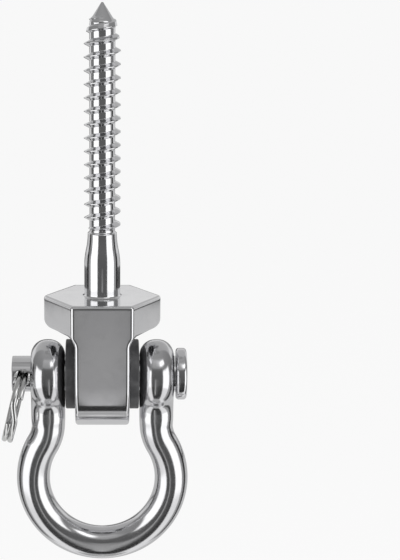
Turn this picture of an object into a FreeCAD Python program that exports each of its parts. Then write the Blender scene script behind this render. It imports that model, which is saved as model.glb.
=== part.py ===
import FreeCAD, Part
import math
import os

import Sketcher
from FreeCAD import Vector

# Hammock hook. The origin is the middle of the hex collar's top face, which seats against a beam.
# +Z runs up the screw to its tip, X runs along the clevis pin from the ring (-X) to the head (+X),
# and the tongue's broad faces look along -Y and +Y.

SIZES = (
    ("screw_length", 80.0),
    ("thread_diameter", 10.0),
    ("core_diameter", 7.0),
    ("thread_pitch", 3.63),
    ("thread_root_width", 1.75),
    ("thread_crest_width", 0.2),
    ("thread_phase", 0.33),
    ("thread_overcut", 0.1),
    ("thread_sink", 0.6),
    ("thread_runout", 1.0),
    ("lead_in_length", 6.4),
    ("lead_in_height", 0.25),
    ("lead_in_rise", 0.4),
    ("lead_in_fade", 2.2),
    ("tip_length", 5.0),
    ("tip_flat", 0.25),
    ("shank_diameter", 10.0),
    ("shank_length", 8.3),
    ("flare_length", 9.4),
    ("neck_diameter", 8.0),
    ("step_height", 0.5),
    ("seat_fillet", 0.7),
    ("flat_shoulder", 0.7561),
    ("hex_height", 8.8),
    ("hex_corner_round", 2.4),
    ("tongue_width", 15.0),
    ("tongue_fillet", 3.0),
    ("edge_round", 0.9),
    ("cut_margin", 2.0),
    ("eye_headroom", 4.1),
    ("bush_wall", 1.4),
    ("bush_fit", 0.02),
    ("bush_flange_diameter", 19.5),
    ("bush_flange_thickness", 2.7),
    ("bush_end_gap", 0.25),
    ("bush_rim_round", 0.4),
    ("pin_diameter", 10.0),
    ("pin_clearance", 0.08),
    ("pin_head_diameter", 14.5),
    ("pin_head_thickness", 3.0),
    ("pin_head_round", 0.9),
    ("pin_end_round", 0.2),
    ("pin_end_wall", 0.55),
    ("hole_mouth_round", 0.15),
    ("head_gap", 0.5),
    ("bar_diameter", 9.4),
    ("eye_margin", 0.1),
    ("eye_diameter", 19.4),
    ("eye_rim_flat", 0.8),
    ("eye_clearance", 0.2),
    ("side_gap", 0.25),
    ("ear_blend", 5.0),
    ("ear_tail", 1.5),
    ("leg_length", 14.5),
    ("shoulder_radius", 12.0),
    ("bow_swell", 4.4),
    ("ring_diameter", 21.6),
    ("ring_wire_height", 1.55),
    ("ring_wire_width", 1.7),
    ("ring_wire_round", 0.35),
    ("ring_turn_gap", 0.06),
    ("ring_step_angle", 36.0),
    ("ring_end_gap", 5.0),
    ("ring_turn", 285.0),
    ("ring_tilt", 13.7),
    ("ring_hole_clearance", 0.2),
    ("ring_side_gap", 0.5),
)

# Derived sizes, written as expressions of the driving ones. A flat of the hex collar is as wide as
# the tongue and a shoulder on each side of it, which makes the collar 28.6 across its flats.
HEX_RADIUS = "(Sizes.tongue_width + 2 * Sizes.flat_shoulder)"
PIN_DROP = "(Sizes.hex_height + Sizes.eye_headroom + Sizes.eye_diameter / 2)"
CORE_END = "(Sizes.shank_length + Sizes.flare_length)"
BUSH_BORE = "(Sizes.pin_diameter / 2 + Sizes.pin_clearance)"
BUSH_SLEEVE = "(" + BUSH_BORE + " + Sizes.bush_wall)"
TONGUE_BORE = "(" + BUSH_SLEEVE + " + Sizes.bush_fit)"
FLANGE_FACE = "(Sizes.tongue_width / 2 + Sizes.bush_flange_thickness)"
EYE_WIDTH = "(Sizes.bar_diameter + 2 * Sizes.eye_margin)"
EYE_INNER = "(" + FLANGE_FACE + " + Sizes.side_gap)"
EYE_OUTER = "(" + EYE_INNER + " + " + EYE_WIDTH + ")"
EYE_MIDDLE = "(" + EYE_INNER + " + " + EYE_WIDTH + " / 2)"
EYE_RIM = "((" + EYE_WIDTH + " - Sizes.eye_rim_flat) / 2)"
BOW_RADIUS = "(" + EYE_MIDDLE + " + Sizes.bow_swell)"
RING_RADIUS = "((Sizes.ring_diameter - Sizes.ring_wire_width) / 2)"
RING_HALF = "(Sizes.ring_wire_height + Sizes.ring_turn_gap / 2)"
RING_SAG = "(" + RING_RADIUS + " - sqrt(" + RING_RADIUS + "^2 - Sizes.pin_diameter^2 / 4))"
RING_HOLE = ("(sqrt(" + RING_HALF + "^2 + (Sizes.ring_wire_width / 2 + " + RING_SAG + " / 2)^2)"
             " + Sizes.ring_hole_clearance)")
RING_LEAN = "(Sizes.ring_tilt * 1 deg)"
RING_REACH = ("(" + RING_HALF + " * cos(" + RING_LEAN + ") + Sizes.ring_wire_width / 2 * sin("
              + RING_LEAN + "))")
HOLE_PLACE = "(" + EYE_OUTER + " + Sizes.ring_side_gap + " + RING_REACH + ")"
PIN_TAIL = "(" + HOLE_PLACE + " + " + RING_HOLE + " + Sizes.pin_end_wall)"

doc = FreeCAD.newDocument("HammockHook")
sheet = doc.addObject("Spreadsheet::Sheet", "Sizes")
for row, (word, value) in enumerate(SIZES, start=1):
    sheet.set("A%d" % row, word)
    sheet.set("B%d" % row, "%g" % value)
    sheet.setAlias("B%d" % row, word)
doc.recompute()


def number(expression):
    """Return the value of an expression of the sheet's sizes."""
    return float(sheet.evalExpression(expression))


def sketch_on(owner, name, role, drop="0", offset="0"):
    """Add a sketch on one of a body's origin planes.

    The sketch is lowered by drop along its own vertical axis and moved by offset along its normal.
    """
    sketch = owner.newObject("Sketcher::SketchObject", name)
    planes = [item for item in owner.Origin.OriginFeatures if item.Role == role]
    sketch.AttachmentSupport = (planes[0], "")
    sketch.MapMode = "FlatFace"
    sketch.setExpression("AttachmentOffset.Base.y", "-(" + drop + ")")
    sketch.setExpression("AttachmentOffset.Base.z", offset)
    return sketch


def bind_point(sketch, geometry, vertex, along, expression):
    """Fix one coordinate of a sketch point to an expression of the sizes."""
    value = number(expression)
    if abs(value) < 1e-9:
        axis = -2 if along == "X" else -1
        sketch.addConstraint(Sketcher.Constraint("PointOnObject", geometry, vertex, axis))
        return
    index = sketch.addConstraint(
        Sketcher.Constraint("Distance" + along, -1, 1, geometry, vertex, value))
    sketch.setExpression("Constraints[%d]" % index, expression)


def draw(sketch, corners, arcs=None, closed=True):
    """Draw an outline through corners given as pairs of expressions.

    arcs maps the number of a corner to (centre x, centre y, turn) for an arc that runs from that
    corner to the next one, where turn is +1 for counter-clockwise and -1 for clockwise.
    """
    arcs = arcs or {}
    points = [Vector(number(x), number(y), 0) for x, y in corners]
    count = len(points) if closed else len(points) - 1
    starts = []
    for i in range(count):
        first = points[i]
        last = points[(i + 1) % len(points)]
        if i not in arcs:
            geometry = sketch.addGeometry(Part.LineSegment(first, last))
            starts.append((geometry, 1, 2))
            continue
        centre_x, centre_y, turn = arcs[i]
        centre = Vector(number(centre_x), number(centre_y), 0)
        begin, end = (first, last) if turn > 0 else (last, first)
        circle = Part.Circle(centre, Vector(0, 0, 1), (begin - centre).Length)
        low = math.atan2(begin.y - centre.y, begin.x - centre.x)
        high = math.atan2(end.y - centre.y, end.x - centre.x)
        if high < low:
            high += 2 * math.pi
        geometry = sketch.addGeometry(Part.ArcOfCircle(circle, low, high))
        starts.append((geometry, 1, 2) if turn > 0 else (geometry, 2, 1))
    for i in range(len(starts)):
        if not closed and i == len(starts) - 1:
            break
        here = starts[i]
        after = starts[(i + 1) % len(starts)]
        sketch.addConstraint(
            Sketcher.Constraint("Coincident", here[0], here[2], after[0], after[1]))
    for i, (x, y) in enumerate(corners):
        geometry, vertex = starts[i][:2] if i < len(starts) else (starts[-1][0], starts[-1][2])
        bind_point(sketch, geometry, vertex, "X", x)
        bind_point(sketch, geometry, vertex, "Y", y)
    for i, (centre_x, centre_y, turn) in arcs.items():
        chord = points[(i + 1) % len(points)] - points[i]
        along, value = ("Y", centre_y) if abs(chord.x) > abs(chord.y) else ("X", centre_x)
        bind_point(sketch, starts[i][0], 3, along, value)


def draw_circle(sketch, radius):
    """Draw a circle about the sketch's origin."""
    circle = Part.Circle(Vector(0, 0, 0), Vector(0, 0, 1), number(radius))
    geometry = sketch.addGeometry(circle)
    sketch.addConstraint(Sketcher.Constraint("Coincident", geometry, 3, -1, 1))
    index = sketch.addConstraint(Sketcher.Constraint("Radius", geometry, number(radius)))
    sketch.setExpression("Constraints[%d]" % index, radius)


def turn(owner, kind, name, sketch, axis):
    """Add a full revolution or groove of a sketch about one of the sketch's axes."""
    feature = owner.newObject(kind, name)
    feature.Profile = sketch
    feature.ReferenceAxis = (sketch, [axis])
    feature.Angle = 360.0
    return feature


def cut_through(owner, name, sketch):
    """Add a pocket that runs through the whole body on both sides of its sketch."""
    feature = owner.newObject("PartDesign::Pocket", name)
    feature.Profile = sketch
    feature.SideType = "Symmetric"
    feature.Type = "ThroughAll"
    return feature


def round_edges(owner, name, radius, wanted):
    """Round the sharp edges of the body's last solid for which wanted(edge) is true."""
    doc.recompute()
    base = owner.Tip
    solid = base.Shape
    picked = []
    for count, edge in enumerate(solid.Edges, start=1):
        faces = solid.ancestorsOfType(edge, Part.Face)
        if len(faces) != 2 or not wanted(edge):
            continue
        middle = edge.valueAt((edge.FirstParameter + edge.LastParameter) / 2)
        normals = [face.normalAt(*face.Surface.parameter(middle)) for face in faces]
        if normals[0].getAngle(normals[1]) > math.radians(15):
            picked.append("Edge%d" % count)
    feature = owner.newObject("PartDesign::Fillet", name)
    feature.Base = (base, picked)
    feature.setExpression("Radius", radius)
    return feature


# Lag screw: hex bar stock turned down to a coarse screw at one end and milled to a tongue at the other.
screw = doc.addObject("PartDesign::Body", "lag_screw")
screw.Label = "lag_screw"

ridge_sketch = sketch_on(screw, "thread_profile", "YZ_Plane")
RIDGE_FOOT = "(Sizes.core_diameter / 3)"
RIDGE_TOP = "(Sizes.thread_diameter / 2 + Sizes.thread_overcut)"
RIDGE_SLOPE = ("((Sizes.thread_root_width - Sizes.thread_crest_width) / "
               "(Sizes.thread_diameter - Sizes.core_diameter))")
FOOT_HALF = ("(Sizes.thread_crest_width / 2 + " + RIDGE_SLOPE + " * (Sizes.thread_diameter / 2 - "
             + RIDGE_FOOT + "))")
TOP_HALF = "(Sizes.thread_crest_width / 2 - " + RIDGE_SLOPE + " * Sizes.thread_overcut)"
THREAD_LOW = "(" + CORE_END + " - Sizes.thread_phase)"
draw(ridge_sketch, (
    (RIDGE_FOOT, THREAD_LOW + " - " + FOOT_HALF),
    (RIDGE_TOP, THREAD_LOW + " - " + TOP_HALF),
    (RIDGE_TOP, THREAD_LOW + " + " + TOP_HALF),
    (RIDGE_FOOT, THREAD_LOW + " + " + FOOT_HALF),
))
ridge = screw.newObject("PartDesign::AdditiveHelix", "thread_ridge")
ridge.Profile = (ridge_sketch, [""])
ridge.ReferenceAxis = (ridge_sketch, ["V_Axis"])
ridge.Mode = 0
ridge.setExpression("Pitch", "Sizes.thread_pitch")
ridge.setExpression("Height", "Sizes.screw_length - Sizes.tip_length / 2 - " + THREAD_LOW)

# The crest is turned to the full diameter, falls to the core at the shank and tapers towards the tip.
crest_sketch = sketch_on(screw, "thread_envelope", "XZ_Plane")
CREST = "Sizes.thread_diameter / 2"
CORE = "Sizes.core_diameter / 2"
CREST_LOW = CORE_END + " - 2 * Sizes.thread_pitch"
CREST_HIGH = "Sizes.screw_length + Sizes.thread_pitch"
STEP_TOP = CORE_END + " + Sizes.step_height"
LEAD_TOP = "(Sizes.screw_length - Sizes.tip_length + Sizes.lead_in_rise)"
draw(crest_sketch, (
    (CORE + " - Sizes.thread_sink", CREST_LOW),
    (CORE + " - Sizes.thread_sink", STEP_TOP),
    (CREST, STEP_TOP + " + Sizes.thread_sink + Sizes.thread_runout"),
    (CREST, LEAD_TOP + " - Sizes.lead_in_length"),
    (CORE + " + Sizes.lead_in_height", LEAD_TOP),
    (CORE + " / 4", LEAD_TOP + " + Sizes.lead_in_fade"),
    (CORE + " / 4", CREST_HIGH),
    (CREST + " + Sizes.cut_margin", CREST_HIGH),
    (CREST + " + Sizes.cut_margin", CREST_LOW),
))
turn(screw, "PartDesign::Groove", "thread_crest", crest_sketch, "V_Axis")

shank_sketch = sketch_on(screw, "shank_profile", "XZ_Plane")
FLARE_HALF = "(Sizes.flare_length / 2)"
FLARE_DIP = "((Sizes.shank_diameter - Sizes.neck_diameter) / 4)"
FLARE_RADIUS = "((" + FLARE_HALF + "^2 + " + FLARE_DIP + "^2) / (2 * " + FLARE_DIP + "))"
draw(shank_sketch, (
    ("0", "-Sizes.hex_height / 2"),
    ("Sizes.shank_diameter / 2 + Sizes.seat_fillet", "-Sizes.hex_height / 2"),
    ("Sizes.shank_diameter / 2 + Sizes.seat_fillet", "0"),
    ("Sizes.shank_diameter / 2", "Sizes.seat_fillet"),
    ("Sizes.shank_diameter / 2", "Sizes.shank_length"),
    ("Sizes.shank_diameter / 2 - " + FLARE_DIP, "Sizes.shank_length + " + FLARE_HALF),
    ("Sizes.neck_diameter / 2", CORE_END),
    ("Sizes.core_diameter / 2", CORE_END + " + Sizes.step_height"),
    ("Sizes.core_diameter / 2", "Sizes.screw_length - Sizes.tip_length"),
    ("Sizes.tip_flat", "Sizes.screw_length"),
    ("0", "Sizes.screw_length"),
), arcs={
    2: ("Sizes.shank_diameter / 2 + Sizes.seat_fillet", "Sizes.seat_fillet", -1),
    4: ("Sizes.shank_diameter / 2 - " + FLARE_RADIUS, "Sizes.shank_length", 1),
    5: ("Sizes.neck_diameter / 2 + " + FLARE_RADIUS, CORE_END, -1),
})
turn(screw, "PartDesign::Revolution", "shank", shank_sketch, "V_Axis")

hex_sketch = sketch_on(screw, "hex_outline", "XY_Plane")
HALF_FLATS = "(" + HEX_RADIUS + " * sqrt(3) / 2)"
draw(hex_sketch, (
    (HEX_RADIUS, "0"),
    (HEX_RADIUS + " / 2", HALF_FLATS),
    ("-" + HEX_RADIUS + " / 2", HALF_FLATS),
    ("-" + HEX_RADIUS, "0"),
    ("-" + HEX_RADIUS + " / 2", "-" + HALF_FLATS),
    (HEX_RADIUS + " / 2", "-" + HALF_FLATS),
))
hex_bar = screw.newObject("PartDesign::Pad", "hex_bar")
hex_bar.Profile = hex_sketch
hex_bar.Reversed = True
hex_bar.setExpression("Length", PIN_DROP + " + " + HALF_FLATS)

# Two milled sides leave the tongue, with a fillet under the collar and a rounded collar corner.
side_sketch = sketch_on(screw, "milled_sides", "XZ_Plane")
CLEAR_OUT = "(" + HEX_RADIUS + " + Sizes.cut_margin)"
CLEAR_LOW = "-(" + PIN_DROP + " + " + HALF_FLATS + " + Sizes.cut_margin)"
CORNER_LOW = "-(Sizes.hex_height - Sizes.hex_corner_round)"
FILLET_LOW = "-(Sizes.hex_height + Sizes.tongue_fillet)"
FILLET_OUT = "(Sizes.tongue_width / 2 + Sizes.tongue_fillet)"
CORNER_IN = "(" + HEX_RADIUS + " - Sizes.hex_corner_round)"
for hand, way in (("", 1), ("-", -1)):
    draw(side_sketch, (
        (hand + "(Sizes.tongue_width / 2)", CLEAR_LOW),
        (hand + "(Sizes.tongue_width / 2)", FILLET_LOW),
        (hand + FILLET_OUT, "-Sizes.hex_height"),
        (hand + CORNER_IN, "-Sizes.hex_height"),
        (hand + "(" + HEX_RADIUS + ")", CORNER_LOW),
        (hand + CLEAR_OUT, CORNER_LOW),
        (hand + CLEAR_OUT, CLEAR_LOW),
    ), arcs={1: (hand + FILLET_OUT, FILLET_LOW, -way), 3: (hand + CORNER_IN, CORNER_LOW, way)})
cut_through(screw, "tongue_sides", side_sketch)

end_sketch = sketch_on(screw, "round_end", "YZ_Plane", drop=PIN_DROP)
END_OUT = "(" + HALF_FLATS + " + Sizes.cut_margin)"
draw(end_sketch, (
    ("-" + HALF_FLATS, "0"),
    (HALF_FLATS, "0"),
    (END_OUT, "0"),
    (END_OUT, "-" + END_OUT),
    ("-" + END_OUT, "-" + END_OUT),
    ("-" + END_OUT, "0"),
), arcs={0: ("0", "0", 1)})
cut_through(screw, "tongue_end", end_sketch)


def on_block(edge):
    """Tell whether an edge belongs to the collar's or the tongue's outline."""
    box = edge.BoundBox
    return box.ZMax < 1e-6 and box.XLength + box.YLength + box.ZLength > 0.5


round_edges(screw, "block_edges", "Sizes.edge_round", on_block)

bore_sketch = sketch_on(screw, "bore_outline", "YZ_Plane", drop=PIN_DROP)
draw_circle(bore_sketch, TONGUE_BORE)
cut_through(screw, "tongue_bore", bore_sketch)


def flanged_bush(name, hand):
    """Add a bush whose sleeve fills half of the tongue's bore; hand is "-" for the left one."""
    body = doc.addObject("PartDesign::Body", name)
    body.Label = name
    sketch = sketch_on(body, name + "_profile", "XZ_Plane", drop=PIN_DROP)
    draw(sketch, (
        (hand + "Sizes.bush_end_gap", BUSH_BORE),
        (hand + FLANGE_FACE, BUSH_BORE),
        (hand + FLANGE_FACE, "Sizes.bush_flange_diameter / 2"),
        (hand + "(Sizes.tongue_width / 2)", "Sizes.bush_flange_diameter / 2"),
        (hand + "(Sizes.tongue_width / 2)", BUSH_SLEEVE),
        (hand + "Sizes.bush_end_gap", BUSH_SLEEVE),
    ))
    turn(body, "PartDesign::Revolution", name + "_solid", sketch, "H_Axis")

    def on_flange(edge):
        """Tell whether an edge is one of the flange's two rim circles."""
        box = edge.BoundBox
        return abs(box.YLength - number("Sizes.bush_flange_diameter")) < 1e-4

    round_edges(body, name + "_rim", "Sizes.bush_rim_round", on_flange)
    return body


left_bush = flanged_bush("left_bush", "-")
right_bush = flanged_bush("right_bush", "")

# Clevis pin: a turned pin with a rounded head, cross-drilled near its tail.
pin = doc.addObject("PartDesign::Body", "clevis_pin")
pin.Label = "clevis_pin"
pin_sketch = sketch_on(pin, "pin_profile", "XZ_Plane", drop=PIN_DROP)
HEAD_FACE = "(" + EYE_OUTER + " + Sizes.head_gap)"
HEAD_TOP = "(" + HEAD_FACE + " + Sizes.pin_head_thickness)"
draw(pin_sketch, (
    ("-" + PIN_TAIL, "0"),
    (HEAD_TOP, "0"),
    (HEAD_TOP, "Sizes.pin_head_diameter / 2"),
    (HEAD_FACE, "Sizes.pin_head_diameter / 2"),
    (HEAD_FACE, "Sizes.pin_diameter / 2"),
    ("-" + PIN_TAIL, "Sizes.pin_diameter / 2"),
))
turn(pin, "PartDesign::Revolution", "pin_solid", pin_sketch, "H_Axis")


def on_head(edge):
    """Tell whether an edge is one of the head's two rim circles."""
    return abs(edge.BoundBox.YLength - number("Sizes.pin_head_diameter")) < 1e-4


def on_tail(edge):
    """Tell whether an edge is the circle at the pin's tail."""
    return edge.BoundBox.XMax < -number(PIN_TAIL) + 1e-4 and edge.BoundBox.YLength > 1


def on_hole(edge):
    """Tell whether an edge is a mouth of the cross hole."""
    box = edge.BoundBox
    return box.XLength > number(RING_HOLE) and box.XMax < -number(EYE_MIDDLE) and box.YLength > 0.01


round_edges(pin, "pin_head_edges", "Sizes.pin_head_round", on_head)
round_edges(pin, "pin_tail_edge", "Sizes.pin_end_round", on_tail)
hole_sketch = sketch_on(pin, "ring_hole_outline", "XZ_Plane", drop=PIN_DROP)
hole_sketch.setExpression("AttachmentOffset.Base.x", "-" + HOLE_PLACE)
draw_circle(hole_sketch, RING_HOLE)
cut_through(pin, "ring_hole", hole_sketch)
round_edges(pin, "ring_hole_mouths", "Sizes.hole_mouth_round", on_hole)

# Bow shackle: a round bar bent to an omega, with a thick rounded eye forged on each end.
SHOULDER = "Sizes.shoulder_radius"
BOW_REACH = "(" + BOW_RADIUS + " + " + SHOULDER + ")"
LEG_REACH = "(" + EYE_MIDDLE + " + " + SHOULDER + ")"
BEND_RISE = "sqrt(" + BOW_REACH + "^2 - " + LEG_REACH + "^2)"
BOW_SHARE = "(" + BOW_RADIUS + " / " + BOW_REACH + ")"
BOW_DROP = "(Sizes.leg_length + " + BEND_RISE + ")"
MEET_OUT = "(" + LEG_REACH + " * " + BOW_SHARE + ")"
MEET_LOW = "-(" + BOW_DROP + " - " + BEND_RISE + " * " + BOW_SHARE + ")"

shackle = doc.addObject("PartDesign::Body", "bow_shackle")
shackle.Label = "bow_shackle"
path = sketch_on(shackle, "bow_path", "XZ_Plane", drop=PIN_DROP)
draw(path, (
    (EYE_MIDDLE, "0"),
    (EYE_MIDDLE, "-Sizes.leg_length"),
    (MEET_OUT, MEET_LOW),
    ("-" + MEET_OUT, MEET_LOW),
    ("-" + EYE_MIDDLE, "-Sizes.leg_length"),
    ("-" + EYE_MIDDLE, "0"),
), arcs={
    1: (LEG_REACH, "-Sizes.leg_length", 1),
    2: ("0", "-" + BOW_DROP, -1),
    3: ("-" + LEG_REACH, "-Sizes.leg_length", 1),
}, closed=False)
bar_sketch = sketch_on(shackle, "bar_section", "XY_Plane", offset="-" + PIN_DROP)
bar_sketch.setExpression("AttachmentOffset.Base.x", EYE_MIDDLE)
draw_circle(bar_sketch, "Sizes.bar_diameter / 2")
doc.recompute()
bar = shackle.newObject("PartDesign::AdditivePipe", "bow_bar")
bar.Profile = bar_sketch
bar.Spine = (path, ["Edge%d" % n for n in range(1, len(path.Shape.Edges) + 1)])

# Each eye is a keyhole outline, a disc that runs into the leg through two hollow arcs.
EYE_RADIUS = "(Sizes.eye_diameter / 2)"
EAR_HALF = "(" + EYE_WIDTH + " / 2)"
EAR_REACH = "(" + EAR_HALF + " + Sizes.ear_blend)"
EAR_SPAN = "(" + EYE_RADIUS + " + Sizes.ear_blend)"
EAR_LOW = "sqrt(" + EAR_SPAN + "^2 - " + EAR_REACH + "^2)"
EAR_SHARE = "(" + EYE_RADIUS + " / " + EAR_SPAN + ")"
EAR_END = "-(" + EAR_LOW + " + Sizes.ear_tail)"
TOUCH_OUT = "(" + EAR_REACH + " * " + EAR_SHARE + ")"
TOUCH_LOW = "-(" + EAR_LOW + " * " + EAR_SHARE + ")"
for hand, side in (("", "right"), ("-", "left")):
    ear_sketch = sketch_on(shackle, side + "_eye_outline", "YZ_Plane", drop=PIN_DROP,
                           offset=hand + EYE_MIDDLE)
    draw(ear_sketch, (
        (TOUCH_OUT, TOUCH_LOW),
        ("-" + TOUCH_OUT, TOUCH_LOW),
        ("-" + EAR_HALF, "-" + EAR_LOW),
        ("-" + EAR_HALF, EAR_END),
        (EAR_HALF, EAR_END),
        (EAR_HALF, "-" + EAR_LOW),
    ), arcs={
        0: ("0", "0", 1),
        1: ("-" + EAR_REACH, "-" + EAR_LOW, -1),
        5: (EAR_REACH, "-" + EAR_LOW, -1),
    })
    ear = shackle.newObject("PartDesign::Pad", side + "_eye")
    ear.Profile = ear_sketch
    ear.SideType = "Symmetric"
    ear.setExpression("Length", EYE_WIDTH)


def on_eye_outline(edge):
    """Tell whether an edge runs along the outline of an eye's flat side."""
    box = edge.BoundBox
    away = min(abs(abs(box.XMin) - number(EYE_INNER)), abs(abs(box.XMin) - number(EYE_OUTER)))
    flat_end = box.ZLength < 1e-4
    return box.XLength < 1e-4 and away < 1e-4 and not flat_end


round_edges(shackle, "eye_rims", EYE_RIM, on_eye_outline)
eye_bore_sketch = sketch_on(shackle, "eye_bore_outline", "YZ_Plane", drop=PIN_DROP)
draw_circle(eye_bore_sketch, "Sizes.pin_diameter / 2 + Sizes.eye_clearance")
cut_through(shackle, "eye_bores", eye_bore_sketch)

# Split ring: one flat wire of almost two turns, which steps from the first layer to the second.
ring_radius = number(RING_RADIUS)
layer = number("Sizes.ring_wire_height + Sizes.ring_turn_gap") / 2
step = math.radians(number("Sizes.ring_step_angle"))
last = 2 * math.pi - step - math.radians(number("Sizes.ring_end_gap"))


def ring_point(angle, height):
    """Return the point of the wire's middle line at an angle round the ring and a height."""
    return Vector(ring_radius * math.cos(angle), ring_radius * math.sin(angle), height)


def ring_turn(height, stop):
    """Return the flat arc of a turn from angle zero to stop."""
    circle = Part.Circle(Vector(0, 0, height), Vector(0, 0, 1), ring_radius)
    return Part.ArcOfCircle(circle, 0, stop).toShape()


stations = [count / 12 for count in range(13)]
rise = [ring_point(-step * (1 - share), layer * (2 * share * share * (3 - 2 * share) - 1))
        for share in stations]
step_curve = Part.BSplineCurve()
step_curve.interpolate(
    Points=rise,
    InitialTangent=Vector(math.sin(step), math.cos(step), 0),
    FinalTangent=Vector(0, 1, 0))
ring_line = Part.Wire([ring_turn(-layer, 2 * math.pi - step), step_curve.toShape(), ring_turn(layer, last)])

half_wide = number("Sizes.ring_wire_width / 2")
half_high = number("Sizes.ring_wire_height / 2")
soft = number("Sizes.ring_wire_round")
section_edges = []
for quarter in range(4):
    begin = quarter * math.pi / 2
    wide = half_wide if quarter in (0, 3) else -half_wide
    high = half_high if quarter in (0, 1) else -half_high
    centre = Vector(ring_radius + wide - math.copysign(soft, wide), 0,
                    -layer + high - math.copysign(soft, high))
    corner = Part.Circle(centre, Vector(0, -1, 0), soft)
    corner.XAxis = Vector(1, 0, 0)
    section_edges.append(Part.ArcOfCircle(corner, begin, begin + math.pi / 2).toShape())
section = []
for quarter, arc in enumerate(section_edges):
    after = section_edges[(quarter + 1) % 4]
    section.append(arc)
    section.append(Part.makeLine(arc.lastVertex().Point, after.firstVertex().Point))
pipe = Part.BRepOffsetAPI.MakePipeShell(ring_line)
pipe.setBiNormalMode(Vector(0, 0, 1))
pipe.add(Part.Wire(section))
pipe.build()
pipe.makeSolid()
coil = pipe.shape()
coil.rotate(Vector(0, 0, 0), Vector(0, 0, 1), number("Sizes.ring_turn"))
ring = doc.addObject("Part::Feature", "split_ring")
ring.Label = "split_ring"
ring.Shape = coil
RING_HANG = "(" + RING_RADIUS + " - " + RING_SAG + " / 2)"
ring.Placement = FreeCAD.Placement(Vector(0, 0, 0), FreeCAD.Rotation(Vector(0, 1, 0), 90))
ring.setExpression("Placement.Rotation.Angle", "90 deg + " + RING_LEAN)
ring.setExpression("Placement.Base.x", "-" + HOLE_PLACE + " - " + RING_HANG + " * sin(" + RING_LEAN + ")")
ring.setExpression("Placement.Base.z", "-" + PIN_DROP + " - " + RING_HANG + " * cos(" + RING_LEAN + ")")
doc.recompute()

parts = (screw, left_bush, right_bush, pin, shackle, ring)
for item in doc.Objects:
    if "Invalid" in item.State or "Error" in item.State:
        raise RuntimeError("feature %s was not built" % item.Name)
for item in parts:
    if item.Shape.isNull() or not item.Shape.isValid() or len(item.Shape.Solids) != 1:
        raise RuntimeError("sub-part %s is not one valid solid" % item.Label)
os.makedirs("parts", exist_ok=True)
for item in parts:
    item.Shape.exportStep("parts/%s.step" % item.Label)
    print(item.Label, len(item.Shape.Faces), "faces,", round(item.Shape.Volume, 1), "cubic mm")
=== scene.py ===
"""Dressed scene of a hammock hook: lag screw, bushes, clevis pin, bow shackle, split ring."""
import logging
import math
from dataclasses import dataclass
from enum import Enum
from typing import Mapping, Sequence

import bmesh
import bpy
import numpy as np
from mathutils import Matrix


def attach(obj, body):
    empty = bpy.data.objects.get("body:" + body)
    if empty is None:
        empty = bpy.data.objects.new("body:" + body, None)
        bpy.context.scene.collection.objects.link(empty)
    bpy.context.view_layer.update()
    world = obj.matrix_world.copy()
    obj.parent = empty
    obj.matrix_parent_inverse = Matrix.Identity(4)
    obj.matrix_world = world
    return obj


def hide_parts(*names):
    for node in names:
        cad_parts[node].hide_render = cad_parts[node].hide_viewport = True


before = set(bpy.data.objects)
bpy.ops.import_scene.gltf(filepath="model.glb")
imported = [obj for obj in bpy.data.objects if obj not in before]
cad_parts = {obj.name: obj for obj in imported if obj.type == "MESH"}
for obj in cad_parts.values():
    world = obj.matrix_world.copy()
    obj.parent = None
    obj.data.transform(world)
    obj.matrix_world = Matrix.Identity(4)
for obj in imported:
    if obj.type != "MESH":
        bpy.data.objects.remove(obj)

Material, Object = bpy.types.Material, bpy.types.Object
Node, Socket = bpy.types.Node, bpy.types.NodeSocket
Pair = tuple[float, float]
Triple = tuple[float, float, float]

LOG = logging.getLogger("hammock_hook")
MM = 0.001
MERGE = 1e-6
TINY = 1e-9
COS_30 = math.sqrt(0.75)
WHITE = (1.0, 1.0, 1.0, 1.0)
PIN_Z = -22.6
HOLE_X = -22.286
RING_CENTRE: Triple = (-24.48, 0.0, -31.61)
RING_LEAN = 13.7
DRILL_COLUMNS = 96
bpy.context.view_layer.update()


class Body(Enum):
    """Moving bodies of the frame."""

    HANGER = "hanger"
    SHACKLE = "shackle"
    PIN = "pin"
    RING = "ring"


class Slot(Enum):
    """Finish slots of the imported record."""

    STEEL = "polished_steel"
    SPRING = "spring_steel"
    NYLON = "black_nylon"


class Axis(Enum):
    """Axes that profiles are turned about."""

    SCREW = "screw"
    PIN = "pin"
    HOLE = "cross hole"


def put(name: str, data: bpy.types.ID) -> Object:
    """Put a mesh, a lamp or a camera into the scene."""
    thing = bpy.data.objects.new(name, data)
    bpy.context.scene.collection.objects.link(thing)
    return thing


# ---- surfaces


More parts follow.
